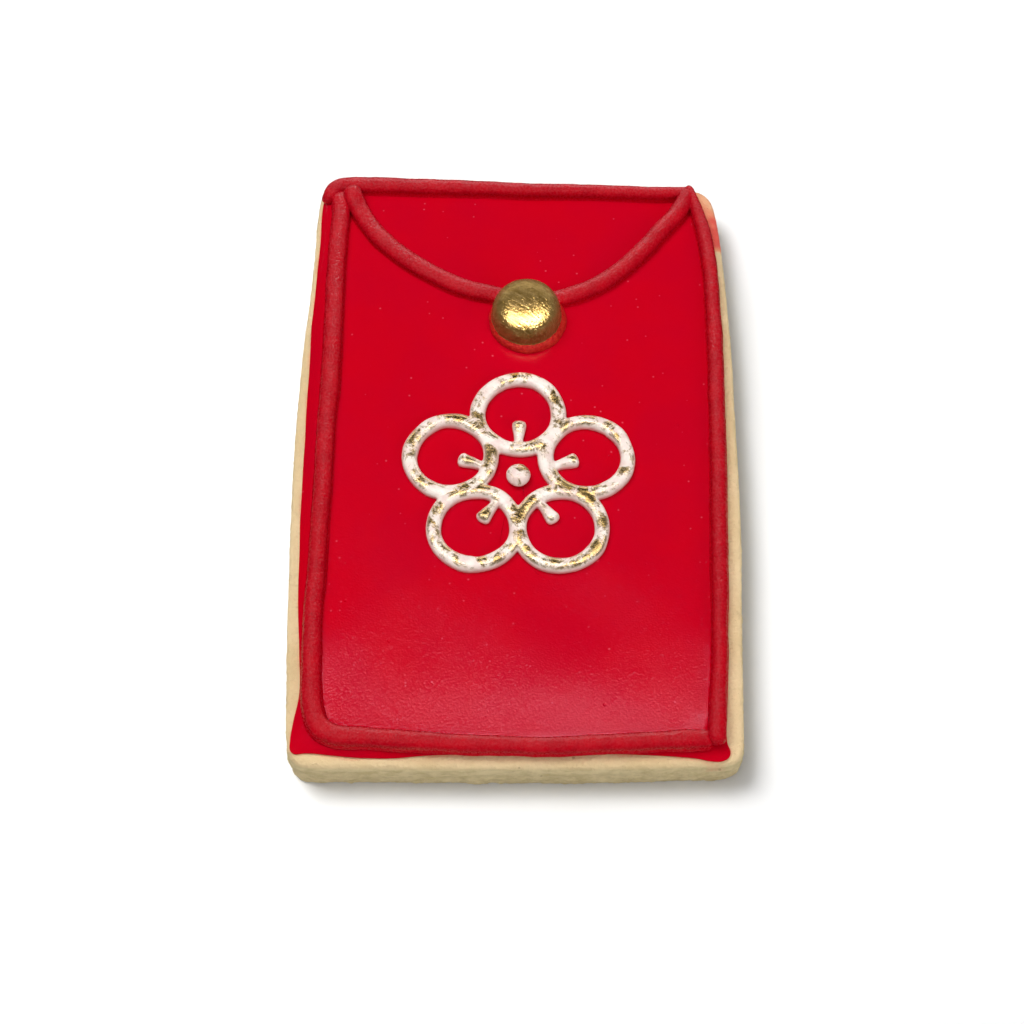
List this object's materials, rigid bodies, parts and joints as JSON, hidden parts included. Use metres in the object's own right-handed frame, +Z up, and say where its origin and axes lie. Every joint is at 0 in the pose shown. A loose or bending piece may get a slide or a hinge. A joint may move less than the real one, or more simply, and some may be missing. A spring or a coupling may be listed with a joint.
{
  "type": "decorated cookie",
  "caption": "Rectangular cut-out cookie iced as a red envelope, with piped seams and flap, a gold button and a piped white plum blossom.",
  "frame": {"origin": "on the table, under the middle of the cookie's bounding box", "axes": "+X to the right of the envelope as it is read, +Y up the envelope to the edge the flap hangs from, +Z up from the table"},
  "size_m": [0.065, 0.0966, 0.0139],
  "materials": {
    "biscuit": "pale baked dough with a fine matt crumb",
    "icing": "smooth red sugar icing with a soft sheen",
    "piping": "piped red icing, a little darker and duller than the sheet",
    "gold": "edible gold lustre brushed over a sugar dome",
    "white_icing": "white royal icing with gold lustre brushed on its ridges"
  },
  "bodies": {
    "root": {"cookie": "biscuit", "icing": "icing", "rim_left_bottom": "piping", "rim_top": "piping", "rim_right": "piping", "flap_left": "piping", "flap_right": "piping", "gold_button": "gold", "blossom": "white_icing", "blossom_bead": "white_icing"}
  },
  "joints": []
}
